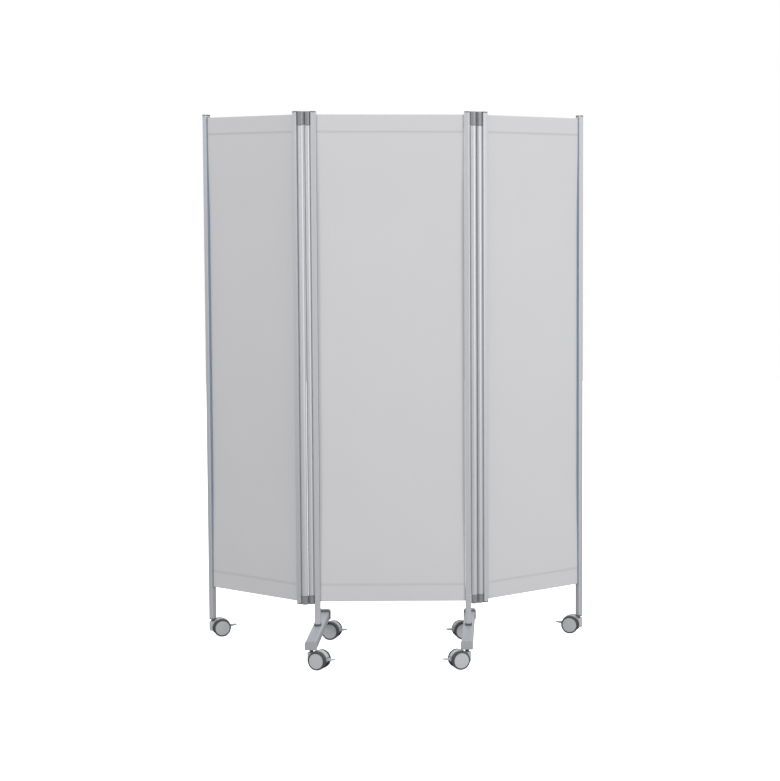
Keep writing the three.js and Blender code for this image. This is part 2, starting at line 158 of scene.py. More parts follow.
def addLights():
    target = Vector(studio["lightsAim"])
    for entry in softLights:
        light = bpy.data.lights.new(entry["name"], "AREA")
        light.shape = "DISK"
        light.size = entry["size"]
        light.energy = entry["power"]
        lamp = bpy.data.objects.new(entry["name"], light)
        lamp.location = entry["place"]
        lamp.rotation_euler = (target - lamp.location).to_track_quat("-Z", "Y").to_euler()
        scene.collection.objects.link(lamp)


addFloor()
addSurround()
addLights()
scene.view_settings.view_transform = "Standard"
print("studio set")


# Finishes. Each is a Principled shader fed by small procedural patterns in metres.
mouldedPattern = {"roughnessScale": 4, "roughnessSwing": 0.07, "grainDepth": 0.0001, "grainDetail": 2.0}
drawnPattern = {"roughnessFall": 0.04, "roughnessRise": 0.06, "lineDepth": 0.00005, "lineDetail": 4.0}


def newFinish(name):
    material = bpy.data.materials.new(name)
    material.use_nodes = True
    tree = material.node_tree
    return material, tree, tree.nodes["Principled BSDF"]


def noisePattern(tree, vector, scale, detail=3.0):
    return addNode(tree, "ShaderNodeTexNoise",
                   {"Vector": vector, "Scale": scale, "Detail": detail}).outputs["Fac"]


def tintBetween(tree, factor, low, high):
    mix = addNode(tree, "ShaderNodeMix", data_type="RGBA")
    tree.links.new(factor, mix.inputs[0])
    mix.inputs[6].default_value = (*low, 1)
    mix.inputs[7].default_value = (*high, 1)
    return mix.outputs[2]


def rangeOf(tree, value, low, high):
    return addNode(tree, "ShaderNodeMapRange",
                   {"Value": value, "To Min": low, "To Max": high}).outputs["Result"]


def bumpFrom(tree, height, strength, distance, normal=None):
    inputs = {"Height": height, "Strength": strength, "Distance": distance}
    if normal is not None:
        inputs["Normal"] = normal
    return addNode(tree, "ShaderNodeBump", inputs).outputs["Normal"]


def shades(colour, spread):
    return [tuple(part * factor for part in colour) for factor in (1 - spread, 1 + spread)]


def makeMoulded(name, look):
    material, tree, shader = newFinish(name)
    place = addNode(tree, "ShaderNodeTexCoord").outputs["Object"]
    clouds = noisePattern(tree, place, look["cloudScale"])
    grain = noisePattern(tree, place, look["grainScale"], mouldedPattern["grainDetail"])
    low, high = shades(look["colour"], look["spread"])
    tree.links.new(tintBetween(tree, clouds, low, high), shader.inputs["Base Color"])
    patches = noisePattern(tree, place, look["cloudScale"] * mouldedPattern["roughnessScale"])
    swing = mouldedPattern["roughnessSwing"]
    rough = rangeOf(tree, patches, look["roughness"] - swing, look["roughness"] + swing)
    tree.links.new(rough, shader.inputs["Roughness"])
    bump = bumpFrom(tree, grain, look["grain"], mouldedPattern["grainDepth"])
    tree.links.new(bump, shader.inputs["Normal"])
    shader.inputs["Specular IOR Level"].default_value = look.get("specular", 0.5)
    return material


def makeDrawnMetal(name, look):
    material, tree, shader = newFinish(name)
    place = addNode(tree, "ShaderNodeTexCoord").outputs["Object"]
    drawn = addNode(tree, "ShaderNodeMapping", {"Vector": place, "Scale": look["drawn"]}).outputs["Vector"]
    lines = noisePattern(tree, drawn, look["lineScale"], drawnPattern["lineDetail"])
    clouds = noisePattern(tree, place, look["cloudScale"])
    low, high = shades(look["colour"], look["spread"])
    tree.links.new(tintBetween(tree, lines, low, high), shader.inputs["Base Color"])
    both = addNode(tree, "ShaderNodeMath", {0: lines, 1: clouds}, operation="MULTIPLY").outputs[0]
    rough = rangeOf(tree, both, look["roughness"] - drawnPattern["roughnessFall"],
                    look["roughness"] + drawnPattern["roughnessRise"])
    tree.links.new(rough, shader.inputs["Roughness"])
    bump = bumpFrom(tree, lines, look["line"], drawnPattern["lineDepth"])
    tree.links.new(bump, shader.inputs["Normal"])
    shader.inputs["Metallic"].default_value = look["metallic"]
    return material


metalLooks = {
    "postAnodised": {"colour": (0.54, 0.55, 0.57), "spread": 0.02, "roughness": 0.5, "metallic": 0.45,
                     "drawn": (1, 1, 0.008), "lineScale": 900, "cloudScale": 14, "line": 0.03},
    "footPaint": {"colour": (0.41, 0.435, 0.475), "spread": 0.03, "roughness": 0.44, "metallic": 0.25,
                  "drawn": (1, 0.01, 1), "lineScale": 700, "cloudScale": 22, "line": 0.04},
    "railMetal": {"colour": (0.45, 0.46, 0.47), "spread": 0.06, "roughness": 0.5, "metallic": 0.9,
                  "drawn": (0.02, 0.02, 1), "lineScale": 900, "cloudScale": 20, "line": 0.15},
    "axleSteel": {"colour": (0.42, 0.43, 0.44), "spread": 0.05, "roughness": 0.3, "metallic": 1.0,
                  "drawn": (1, 1, 1), "lineScale": 900, "cloudScale": 60, "line": 0.1},
}
mouldedLooks = {
    "hingeNylon": {"colour": (0.235, 0.24, 0.25), "spread": 0.08, "roughness": 0.3,
                   "cloudScale": 60, "grainScale": 1900, "grain": 0.25},
    # darkTrimAndPaintedShade: the real dark colour of the covers, collars, plugs and swivel washers, and
    # also the painted shade of the hinge washers
    "darkTrimAndPaintedShade": {"colour": (0.085, 0.09, 0.095), "spread": 0.1, "roughness": 0.5,
                 "cloudScale": 60, "grainScale": 1900, "grain": 0.25},
    "endCapPlastic": {"colour": (0.36, 0.37, 0.385), "spread": 0.05, "roughness": 0.5,
                      "cloudScale": 45, "grainScale": 1700, "grain": 0.25},
    "casterNylon": {"colour": (0.50, 0.513, 0.525), "spread": 0.04, "roughness": 0.42,
                    "cloudScale": 50, "grainScale": 1700, "grain": 0.2},
    "pedalNylon": {"colour": (0.55, 0.56, 0.57), "spread": 0.05, "roughness": 0.45,
                   "cloudScale": 60, "grainScale": 1700, "grain": 0.2},
    "hubNylon": {"colour": (0.50, 0.515, 0.53), "spread": 0.04, "roughness": 0.5,
                 "cloudScale": 60, "grainScale": 1500, "grain": 0.22},
    "tyreRubber": {"colour": (0.062, 0.065, 0.073), "spread": 0.18, "roughness": 0.66,
                   "cloudScale": 80, "grainScale": 1300, "grain": 0.4, "specular": 0.4},
    "gasketRubber": {"colour": (0.23, 0.30, 0.395), "spread": 0.08, "roughness": 0.55,
                     "cloudScale": 40, "grainScale": 1500, "grain": 0.3},
    "sealGrey": {"colour": (0.19, 0.195, 0.205), "spread": 0.1, "roughness": 0.5,
                 "cloudScale": 60, "grainScale": 1900, "grain": 0.25},
    "stitchThread": {"colour": (0.44, 0.44, 0.45), "spread": 0.1, "roughness": 0.8,
                     "cloudScale": 300, "grainScale": 4000, "grain": 0.5},
}
finishes = {name: makeDrawnMetal(name, look) for name, look in metalLooks.items()}
finishes.update({name: makeMoulded(name, look) for name, look in mouldedLooks.items()})


# Coated cloth: a plain weave that shows through a matt coat, with a band of painted shade along each hem
# seam's crease
clothLook = {
    "colour": (0.59, 0.59, 0.606),
    "spread": 0.02,
    "roughness": 0.62,
    "threadScale": 420,
    "weave": 0.16,
    "coatScale": 1400,
    "coat": 0.12,
    "coatSwing": 0.06,
    "bumpDepth": 0.0001,
    "cloudScale": 3.0,
    "cloudDetail": 2.0,
    "specular": 0.35,
    "sheen": 0.08,
    "seamHeights": (0.2124, 1.5886),
    "seamShadeHalfWidth": 0.0062,
    "seamShadeTone": 0.89,
}


def makeCloth():
    material, tree, shader = newFinish("coatedCloth")
    place = addNode(tree, "ShaderNodeTexCoord")
    weave = None
    for direction in "XY":
        wave = addNode(tree, "ShaderNodeTexWave",
                       {"Vector": place.outputs["UV"], "Scale": clothLook["threadScale"]},
                       wave_type="BANDS", bands_direction=direction).outputs["Fac"]
        weave = wave if weave is None else addNode(
            tree, "ShaderNodeMath", {0: weave, 1: wave}, operation="MAXIMUM").outputs[0]
    coat = noisePattern(tree, place.outputs["UV"], clothLook["coatScale"])
    clouds = noisePattern(tree, place.outputs["UV"], clothLook["cloudScale"], clothLook["cloudDetail"])
    low, high = shades(clothLook["colour"], clothLook["spread"])
    tint = tintBetween(tree, clouds, low, high)
    height = addNode(tree, "ShaderNodeSeparateXYZ", {0: place.outputs["Object"]}).outputs["Z"]
    # Painted shade: a band around each seam height darkens the cloth's colour in place of the shade in the
    # seam's crease
    seamShadeMask = None
    for level in clothLook["seamHeights"]:
        above = addNode(tree, "ShaderNodeMath", {0: height, 1: level}, operation="SUBTRACT").outputs[0]
        away = addNode(tree, "ShaderNodeMath", {0: above}, operation="ABSOLUTE").outputs[0]
        near = addNode(tree, "ShaderNodeMapRange",
                       {"Value": away, "From Min": clothLook["seamShadeHalfWidth"], "From Max": 0.0},
                       interpolation_type="SMOOTHSTEP").outputs["Result"]
        seamShadeMask = near if seamShadeMask is None else addNode(
            tree, "ShaderNodeMath", {0: seamShadeMask, 1: near}, operation="MAXIMUM").outputs[0]
    shade = addNode(tree, "ShaderNodeMix", data_type="RGBA")
    tree.links.new(seamShadeMask, shade.inputs[0])
    tree.links.new(tint, shade.inputs[6])
    seamShadeColour = (part * clothLook["seamShadeTone"] for part in clothLook["colour"])
    shade.inputs[7].default_value = (*seamShadeColour, 1)
    tree.links.new(shade.outputs[2], shader.inputs["Base Color"])
    swing, depth = clothLook["coatSwing"], clothLook["bumpDepth"]
    rough = rangeOf(tree, coat, clothLook["roughness"] - swing, clothLook["roughness"] + swing)
    tree.links.new(rough, shader.inputs["Roughness"])
    threads = bumpFrom(tree, weave, clothLook["weave"], depth)
    tree.links.new(bumpFrom(tree, coat, clothLook["coat"], depth, threads), shader.inputs["Normal"])
    shader.inputs["Specular IOR Level"].default_value = clothLook["specular"]
    shader.inputs["Sheen Weight"].default_value = clothLook["sheen"]
    return material


finishes["coatedCloth"] = makeCloth()
print("finishes made:", len(finishes))


# Places, read from the frame's joints
def jointPlace(name):
    return Vector(joints[name]["pos_m"])


def levelDirection(start, end):
    return Vector((end.x - start.x, end.y - start.y, 0)).normalized()


def standAt(origin, along):
    return Matrix((
        (along.x, -along.y, 0, origin.x),
        (along.y, along.x, 0, origin.y),
        (0, 0, 1, 0),
        (0, 0, 0, 1),
    ))


# Mesh tools
cornerSteps = 8
creaseAngle = 50


def roundedOutline(corners, steps=cornerSteps):
    points = []
    for index, (x, y, radius) in enumerate(corners):
        here = Vector((x, y))
        if radius == 0:
            points.append(here)
            continue
        before = (Vector(corners[index - 1][:2]) - here).normalized()
        after = (Vector(corners[(index + 1) % len(corners)][:2]) - here).normalized()
        half = before.angle(after) / 2
        centre = here + (before + after).normalized() * (radius / math.sin(half))
        start = here + before * (radius / math.tan(half)) - centre
        end = here + after * (radius / math.tan(half)) - centre
        first = math.atan2(start.y, start.x)
        sweep = (math.atan2(end.y, end.x) - first + math.pi) % (2 * math.pi) - math.pi
        for step in range(steps + 1):
            angle = first + sweep * step / steps
            points.append(centre + Vector((math.cos(angle), math.sin(angle))) * radius)
    return points


def rectangleCorners(halfX, halfY, radius):
    return [(x, y, radius) for x, y in (
        (-halfX, -halfY), (halfX, -halfY), (halfX, halfY), (-halfX, halfY),
    )]


def prismMesh(outline, low, high, lift):
    bm = bmesh.new()
    rings = [[bm.verts.new(lift(point, level)) for point in outline] for level in (low, high)]
    bm.faces.new(reversed(rings[0]))
    bm.faces.new(rings[1])
    joinRings(bm, rings[0], rings[1])
    return bm


def joinRings(bm, lower, upper):
    for index in range(len(lower)):
        following = (index + 1) % len(lower)
        bm.faces.new((lower[index], lower[following], upper[following], upper[index]))


def upright(point, level):
    return (point.x, point.y, level)


def crosswise(point, level):
    return (point.x, -level, point.y)


def lengthwise(point, level):
    return (level, point.x, point.y)


def latheMesh(profile, segments):
    bm = bmesh.new()
    rings = []
    for radius, y in profile:
        if radius == 0:
            rings.append([bm.verts.new((0, y, 0))])
            continue
        angles = [2 * math.pi * step / segments for step in range(segments)]
        rings.append([bm.verts.new((radius * math.sin(a), y, radius * math.cos(a))) for a in angles])
    for index, ring in enumerate(rings):
        following = rings[(index + 1) % len(rings)]
        for step in range(segments):
            after = (step + 1) % segments
            if len(ring) == 1 and len(following) == 1:
                break
            if len(ring) == 1:
                bm.faces.new((ring[0], following[step], following[after]))
            elif len(following) == 1:
                bm.faces.new((ring[step], following[0], ring[after]))
            else:
                bm.faces.new((ring[step], following[step], following[after], ring[after]))
    bmesh.ops.recalc_face_normals(bm, faces=bm.faces)
    return bm


def evaluatedMesh(piece):
    graph = bpy.context.evaluated_depsgraph_get()
    return bpy.data.meshes.new_from_object(piece.evaluated_get(graph), depsgraph=graph)


def applyModifiers(piece):
    mesh = evaluatedMesh(piece)
    piece.modifiers.clear()
    piece.data = mesh


def looseObject(name, bm, matrix):
    mesh = bpy.data.meshes.new(name)
    bmesh.ops.recalc_face_normals(bm, faces=bm.faces)
    bm.to_mesh(mesh)
    bm.free()
    mesh.transform(matrix)
    piece = bpy.data.objects.new(name, mesh)
    scene.collection.objects.link(piece)
    return piece


def uniteInto(piece, others):
    for other in others:
        union = piece.modifiers.new("union", "BOOLEAN")
        union.operation = "UNION"
        union.solver = "EXACT"
        union.object = other
    applyModifiers(piece)
    for other in others:
        bpy.data.objects.remove(other)


def softenEdges(piece, width, segments=2, angle=40):
    for polygon in piece.data.polygons:
        polygon.use_smooth = True
    if width:
        bevel = piece.modifiers.new("bevel", "BEVEL")
        bevel.width = width
        bevel.segments = segments
        bevel.limit_method = "ANGLE"
        bevel.angle_limit = math.radians(angle)
    else:
        piece.data.set_sharp_from_angle(angle=math.radians(angle))
    weighted = piece.modifiers.new("weighted", "WEIGHTED_NORMAL")
    weighted.keep_sharp = True
    applyModifiers(piece)


def settle(piece, finish, body, replaced=()):
    piece.data.materials.clear()
    piece.data.materials.append(finishes[finish])
    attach(piece, body)
    if replaced:
        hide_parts(*replaced)
    return piece


# Posts: a channel section with a round hinge bead on a web, and a thin dark cover on each free end
postShape = {
    "halfWidth": 8.5 * mm, "halfDepth": 9.5 * mm, "corner": 3.5 * mm, "mouthCorner": 1.6 * mm,
    "lip": 2.5 * mm, "mouthEdge": 0.5 * mm, "halfChannel": 7 * mm, "channelDepth": 12 * mm,
    "reach": 18.5 * mm, "bead": 9.25 * mm, "halfWeb": 3.5 * mm, "webRoot": 1.5 * mm, "beadSteps": 44,
    "beadFoot": 179.4 * mm, "beadHead": 1607.6 * mm, "sheetFoot": 160 * mm, "edge": 0.25 * mm,
    "stopper": 1642 * mm, "stopperRecess": 0.8 * mm, "stopperDrop": 1 * mm, "stopperPlay": 0.05 * mm,
}
postCover = {"proud": 0.3 * mm, "height": 3.2 * mm, "above": 0.2 * mm, "edge": 0.5 * mm}


def closedOutline(proud=0):
    s = postShape
    return roundedOutline(rectangleCorners(
        s["halfWidth"] + proud, s["halfDepth"] + proud, s["corner"] + proud))


def channelOutline():
    s = postShape
    floor = s["halfWidth"] - s["lip"] - s["channelDepth"]
    half = [(s["halfWidth"], s["halfChannel"], s["mouthEdge"]), (floor, s["halfChannel"], 0)]
    lower = [(x, -y, radius) for x, y, radius in half]
    (a, b, c, d) = rectangleCorners(s["halfWidth"], s["halfDepth"], s["mouthCorner"])
    return roundedOutline([(*a[:2], s["corner"]), b] + lower + half[::-1] + [c, (*d[:2], s["corner"])])


def stopperOutline():
    s = postShape
    half = s["halfChannel"] - s["stopperPlay"]
    front = s["halfWidth"] - s["stopperRecess"]
    back = front - s["lip"]
    return [Vector(corner) for corner in ((back, -half), (front, -half), (front, half), (back, half))]


def beadOutline():
    s = postShape
    opening = math.asin(s["halfWeb"] / s["bead"])
    steps = s["beadSteps"]
    points = []
    for step in range(steps + 1):
        angle = opening + (2 * math.pi - 2 * opening) * step / steps
        points.append(Vector((s["bead"] * math.cos(angle) - s["reach"], s["bead"] * math.sin(angle))))
    root = -s["halfWidth"] + s["webRoot"]
    return points + [Vector((root, -s["halfWeb"])), Vector((root, s["halfWeb"]))]


def addPost(node, body, matrix, low, high, beaded):
    s = postShape
    section = prismMesh(channelOutline(), s["sheetFoot"], high, upright)
    piece = looseObject(node + "Section", section, matrix)
    joined = [looseObject("foot", prismMesh(closedOutline(), low, s["sheetFoot"], upright), matrix)]
    if beaded:
        joined.append(looseObject(
            "bead", prismMesh(beadOutline(), s["beadFoot"], s["beadHead"], upright), matrix))
    uniteInto(piece, joined)
    softenEdges(piece, s["edge"])
    settle(piece, "postAnodised", body, [node])
    block = prismMesh(stopperOutline(), s["stopper"], high - s["stopperDrop"], upright)
    stopper = looseObject(node + "Stopper", block, matrix)
    softenEdges(stopper, s["edge"])
    settle(stopper, "postAnodised", body)


# Gaskets: a strip on each side of the sheet closes the channel's mouth, and leaves the rails free.
# On the outer posts the strips come out of the mouth as a narrow lip that lies along the sheet's edge.
gasketShape = {
    "inner": 1.0 * mm, "railSide": 3.5 * mm, "outer": 6.8 * mm, "recess": 0.5 * mm, "lip": 2.4 * mm,
    "depth": 2 * mm, "foot": 161 * mm, "lowRail": 214 * mm, "highRail": 1587 * mm, "head": 1641.5 * mm,
    "edge": 0.4 * mm,
}


def addGaskets(name, body, matrix, lipped=False):
    g = gasketShape
    inner = postShape["halfWidth"] - g["depth"]
    outer = postShape["halfWidth"] + (g["lip"] if lipped else -g["recess"])
    for label, side in (("Front", -1), ("Back", 1)):
        outline = [Vector((side * y, z)) for y, z in (
            (g["outer"], g["foot"]), (g["outer"], g["head"]), (g["railSide"], g["head"]),
            (g["railSide"], g["highRail"]), (g["inner"], g["highRail"]), (g["inner"], g["lowRail"]),
            (g["railSide"], g["lowRail"]), (g["railSide"], g["foot"]),
        )]
        strip = prismMesh(outline, inner, outer, lengthwise)
        piece = looseObject(name + label + "Gasket", strip, matrix)
        softenEdges(piece, g["edge"])
        settle(piece, "gasketRubber", body)


def addPostCover(name, body, matrix, low, high):
    outline = closedOutline(postCover["proud"])
    piece = looseObject(name, prismMesh(outline, low, high, upright), matrix)
    softenEdges(piece, postCover["edge"], 3)
    settle(piece, "darkTrimAndPaintedShade", body)


leftInner, rightInner = jointPlace("left_inner_hinge_axis"), jointPlace("right_inner_hinge_axis")
middleAlong = levelDirection(leftInner, rightInner)
middlePosts = {
    "left": (leftInner + middleAlong * postShape["reach"], middleAlong),
    "right": (rightInner - middleAlong * postShape["reach"], -middleAlong),
}
wingPosts = {}
for side in ("left", "right"):
    hingeAxis = jointPlace(side + "_outer_hinge_axis")
    outerPost = jointPlace("wing_" + side + "_caster_swivel")
    along = levelDirection(hingeAxis, outerPost)
    wingPosts[side] = (hingeAxis + along * postShape["reach"], outerPost, along)

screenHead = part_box("middle_left_post")[1][2]
for side in ("left", "right"):
    standing, facing = middlePosts[side]
    node = "middle_" + side + "_post"
    matrix = standAt(standing, facing)
    addPost(node, "middle_panel", matrix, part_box(node)[0][2], screenHead, True)
    addGaskets(node, "middle_panel", matrix)
    coverHigh = screenHead + postCover["above"]
    coverLow = coverHigh - postCover["height"]
    addPostCover(node + "HeadCover", "middle_panel", matrix, coverLow, coverHigh)
    innerPost, outerPost, along = wingPosts[side]
    for part, origin, facing, beaded in (
            ("inner", innerPost, along, True), ("outer", outerPost, -along, False)):
        node = side + "_wing_" + part + "_post"
        matrix = standAt(origin, facing)
        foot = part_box(node)[0][2]
        addPost(node, side + "_wing", matrix, foot, screenHead, beaded)
        addGaskets(node, side + "_wing", matrix, lipped=not beaded)
        addPostCover(node + "HeadCover", side + "_wing", matrix, coverLow, coverHigh)
        if beaded:
            addPostCover(node + "FootCover", side + "_wing", matrix, foot - postCover["above"],
                         foot - postCover["above"] + postCover["height"])
print("posts made")


# Hinge blocks: two barrels joined by a waist with hollow flanks, and a washer for the hinge pin between
# barrel and bead, made dark as painted shade of the gap under the block
hingeShape = {
    "barrel": 9.4 * mm, "halfWaist": 1.4 * mm, "edge": 0.6 * mm, "barrelSteps": 36, "waistSteps": 8,
    "headLow": 1609 * mm, "footHigh": 178 * mm,
}
hingeShadeWasher = {"radius": 7.8 * mm, "gap": 0.1 * mm, "overlap": 0.3 * mm, "steps": 32}


def hingeOutline(spacing):
    radius, waist = hingeShape["barrel"], hingeShape["halfWaist"]
    half = spacing / 2
    hollow = (half * half + waist * waist - radius * radius) / (2 * (radius - waist))
    lift = waist + hollow
    meet = math.atan2(lift, half)
    points = []
    steps = hingeShape["barrelSteps"]
    for step in range(steps + 1):
        angle = -(math.pi - meet) + 2 * (math.pi - meet) * step / steps
        points.append(Vector((spacing + radius * math.cos(angle), radius * math.sin(angle))))
    points += waistArc(half, lift, hollow, meet, 1)
    for step in range(steps + 1):
        angle = meet + 2 * (math.pi - meet) * step / steps
        points.append(Vector((radius * math.cos(angle), radius * math.sin(angle))))
    return points + waistArc(half, lift, hollow, meet, -1)


def waistArc(half, lift, hollow, meet, side):
    points = []
    steps = hingeShape["waistSteps"]
    for step in range(1, steps):
        angle = (math.pi / 2 - meet) * (1 - 2 * step / steps) * side
        points.append(Vector((half + hollow * math.sin(angle), side * (lift - hollow * math.cos(angle)))))
    return points


def addHingeShadeWashers(name, body, matrix, spacing, low, high):
    w = hingeShadeWasher
    angles = [2 * math.pi * step / w["steps"] for step in range(w["steps"])]
    rim = [Vector((math.cos(angle), math.sin(angle))) * w["radius"] for angle in angles]
    for label, x in (("Inner", 0), ("Outer", spacing)):
        ring = [Vector((x, 0)) + point for point in rim]
        washer = looseObject(name + label + "Washer", prismMesh(ring, low, high, upright), matrix)
        softenEdges(washer, 0, angle=creaseAngle)
        # Painted shade: the hinge washers take the dark trim colour in place of the shadow in the gap
        # between bead and block
        settle(washer, "darkTrimAndPaintedShade", body)


for side in ("left", "right"):
    start, end = jointPlace(side + "_inner_hinge_axis"), jointPlace(side + "_outer_hinge_axis")
    spacing = math.hypot(end.x - start.x, end.y - start.y)
    matrix = standAt(start, levelDirection(start, end))
    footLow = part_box(side + "_foot_hinge_block")[0][2]
    levels = {"head": (hingeShape["headLow"], screenHead), "foot": (footLow, hingeShape["footHigh"])}
    for end in ("head", "foot"):
        node = side + "_" + end + "_hinge_block"
        block = prismMesh(hingeOutline(spacing), *levels[end], upright)
        piece = looseObject(node + "Moulding", block, matrix)
        softenEdges(piece, hingeShape["edge"], 3)
        settle(piece, "hingeNylon", side + "_hinge_link", [node])
    gap, overlap = hingeShadeWasher["gap"], hingeShadeWasher["overlap"]
    addHingeShadeWashers(side + "Head", side + "_hinge_link", matrix, spacing,
                    postShape["beadHead"] + gap, levels["head"][0] + overlap)
    addHingeShadeWashers(side + "Foot", side + "_hinge_link", matrix, spacing,
                    levels["foot"][1] - overlap, postShape["beadFoot"] - gap)
print("hinges made")


# Cross feet: bar, a flat front cap, a rear cap whose skirt goes over the bar, and a collar
footShape = {
    "halfWidth": 17 * mm, "underside": 58.5 * mm, "top": 84.5 * mm, "topCorner": 6 * mm,
    "underCorner": 2 * mm, "plate": 8 * mm, "seam": 0.3 * mm, "edge": 0.4 * mm,
}
frontCapShape = {"sideLip": 1.2 * mm, "topLip": 1.2 * mm, "edge": 2.6 * mm}
rearCapShape = {
    "sideLip": 2.5 * mm, "topLip": 6 * mm, "skirt": 13 * mm, "gap": 0.3 * mm, "edge": 1.2 * mm,
    "seal": 1.3 * mm, "sealSide": 2.1 * mm, "sealTop": 4.2 * mm, "sealEdge": 0.4 * mm,
}
collarShape = {"gap": 0.3 * mm, "wall": 1.8 * mm, "edge": 0.4 * mm}
plugShape = {"height": 3 * mm, "edge": 0.4 * mm}


def footOutline(sideLip, topLip):
    s = footShape
    half, low, high = s["halfWidth"] + sideLip, s["underside"], s["top"] + topLip
    return roundedOutline([
        (-half, low, s["underCorner"]), (half, low, s["underCorner"]),
        (half, high, s["topCorner"] + sideLip), (-half, high, s["topCorner"] + sideLip),
    ])


def skirtOutline(sideLip, topLip):
    s = footShape
    gap = rearCapShape["gap"]
    half, low, high = s["halfWidth"] + sideLip, s["underside"], s["top"] + topLip
    inner, ceiling = s["halfWidth"] + gap, s["top"] + gap
    return roundedOutline([
        (-half, low, 0), (-inner, low, 0), (-inner, ceiling, s["topCorner"] + gap),
        (inner, ceiling, s["topCorner"] + gap), (inner, low, 0), (half, low, 0),
        (half, high, s["topCorner"] + sideLip), (-half, high, s["topCorner"] + sideLip),
    ])


def addFoot(side):
    standing, _ = middlePosts[side]
    matrix = Matrix.Translation((standing.x, 0, 0))
    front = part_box(side + "_foot_front_cap")[0][1]
    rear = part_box(side + "_foot_rear_cap")[1][1]
    plate = footShape["plate"]
    inset = plate + footShape["seam"]
    tube = prismMesh(footOutline(0, 0), -rear + inset, -front - inset, crosswise)
    bar = looseObject(side + "FootBar", tube, matrix)
    softenEdges(bar, footShape["edge"])
    settle(bar, "footPaint", "middle_panel", [side + "_foot_bar"])

    f = frontCapShape
    outline = footOutline(f["sideLip"], f["topLip"])
    disc = prismMesh(outline, -front - plate, -front, crosswise)
    cap = looseObject(side + "FootFrontCap", disc, matrix)
    softenEdges(cap, f["edge"], 4)
    settle(cap, "endCapPlastic", "middle_panel", [side + "_foot_front_cap"])

    r = rearCapShape
    skirtEnd = -rear + plate + r["skirt"]
    outline = footOutline(r["sideLip"], r["topLip"])
    boot = looseObject(side + "FootRearCap", prismMesh(outline, -rear, -rear + plate, crosswise), matrix)
    skirt = prismMesh(skirtOutline(r["sideLip"], r["topLip"]), -rear + plate, skirtEnd, crosswise)
    uniteInto(boot, [looseObject("skirt", skirt, matrix)])
    softenEdges(boot, r["edge"], 3)
    settle(boot, "endCapPlastic", "middle_panel", [side + "_foot_rear_cap"])
    outline = skirtOutline(r["sealSide"], r["sealTop"])
    ring = prismMesh(outline, skirtEnd, skirtEnd + r["seal"], crosswise)
    seal = looseObject(side + "FootRearSeal", ring, matrix)
    softenEdges(seal, r["sealEdge"])
    settle(seal, "sealGrey", "middle_panel")


def addCollar(side):
    standing, facing = middlePosts[side]
    node = side + "_foot_collar"
    low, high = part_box(node)[0][2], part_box(node)[1][2]
    bm = bmesh.new()
    rings = []
    for proud in (collarShape["gap"] + collarShape["wall"], collarShape["gap"]):
        outline = closedOutline(proud)
        rings += [[bm.verts.new(upright(point, level)) for point in outline] for level in (low, high)]
    outerLow, outerHigh, innerLow, innerHigh = rings
    joinRings(bm, outerLow, outerHigh)
    joinRings(bm, outerHigh, innerHigh)
    joinRings(bm, innerHigh, innerLow)
    joinRings(bm, innerLow, outerLow)
    collar = looseObject(node + "Ring", bm, standAt(standing, facing))
    softenEdges(collar, collarShape["edge"], 3)
    settle(collar, "darkTrimAndPaintedShade", "middle_panel", [node])


def addPlug(side):
    node = side + "_wing_foot_plug"
    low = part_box(node)[0][2]
    _, outerPost, along = wingPosts[side]
    matrix = standAt(outerPost, -along)
    plate = prismMesh(closedOutline(), low, low + plugShape["height"], upright)
    plug = looseObject(node + "Plate", plate, matrix)
    softenEdges(plug, plugShape["edge"], 3)
    settle(plug, "darkTrimAndPaintedShade", side + "_wing", [node])


for side in ("left", "right"):
    addFoot(side)
    addCollar(side)
    addPlug(side)
print("feet made")


# Sheets: coated cloth, sewn into a pocket round a rail at head and foot
sheetShape = {
    "foot": 160 * mm, "head": 1641 * mm, "hem": 50 * mm, "halfHem": 4.5 * mm, "cloth": 1.2 * mm,
    "pocket": 38.6 * mm, "postGap": 9 * mm, "columnPitch": 3 * mm, "rowPitch": 46 * mm,
    "pucker": 0.1 * mm, "puckerPitch": 13 * mm, "puckerReach": 7 * mm, "puckerDrift": 31,
    "puckerSwing": 1.7, "wave": 0.35 * mm, "waveAcross": 23, "waveUp": 2.1, "waveStart": 0.8,
    "slantAcross": 41, "slantUp": 3, "slantShare": 0.6, "edgeHold": 12 * mm, "seamHold": 60 * mm,
    "flap": 2.2 * mm, "flapEase": 0.2 * mm, "easing": 300 * mm, "easingSteps": 8,
    "pocketCorner": 0.9 * mm, "pocketEase": 3, "pocketFlat": 0.7,
}
# The two numbers are the distance from the hem's edge and the distance from the middle plane, as
# shares of the hem's depth and half thickness. The front layer runs straight down from rail to
# rail, and the back layer comes round the rail to meet it at the seam.
hemFrontShares = [
    (0, -0.62), (0.006, -0.82), (0.02, -0.95), (0.05, -1), (0.5, -1), (0.97, -1), (1, -0.985), (1.1, -0.96),
]
hemBackShares = [
    (0, 0.62), (0.006, 0.82), (0.02, 0.95), (0.05, 1), (0.4, 1), (0.76, 1), (0.8, 0.86), (0.85, 0.5),
    (0.9, 0.12), (0.95, -0.22), (1, -0.46),
]


def clothFront(depth):
    s = sheetShape
    start, easing = hemFrontShares[-1][0] * s["hem"], s["easing"]
    part = min(1, max(0, (depth - start) / easing))
    smooth = part * part * (3 - 2 * part)
    hemSide, middle = hemFrontShares[-1][1] * s["halfHem"], -s["cloth"] / 2
    return hemSide + (middle - hemSide) * smooth


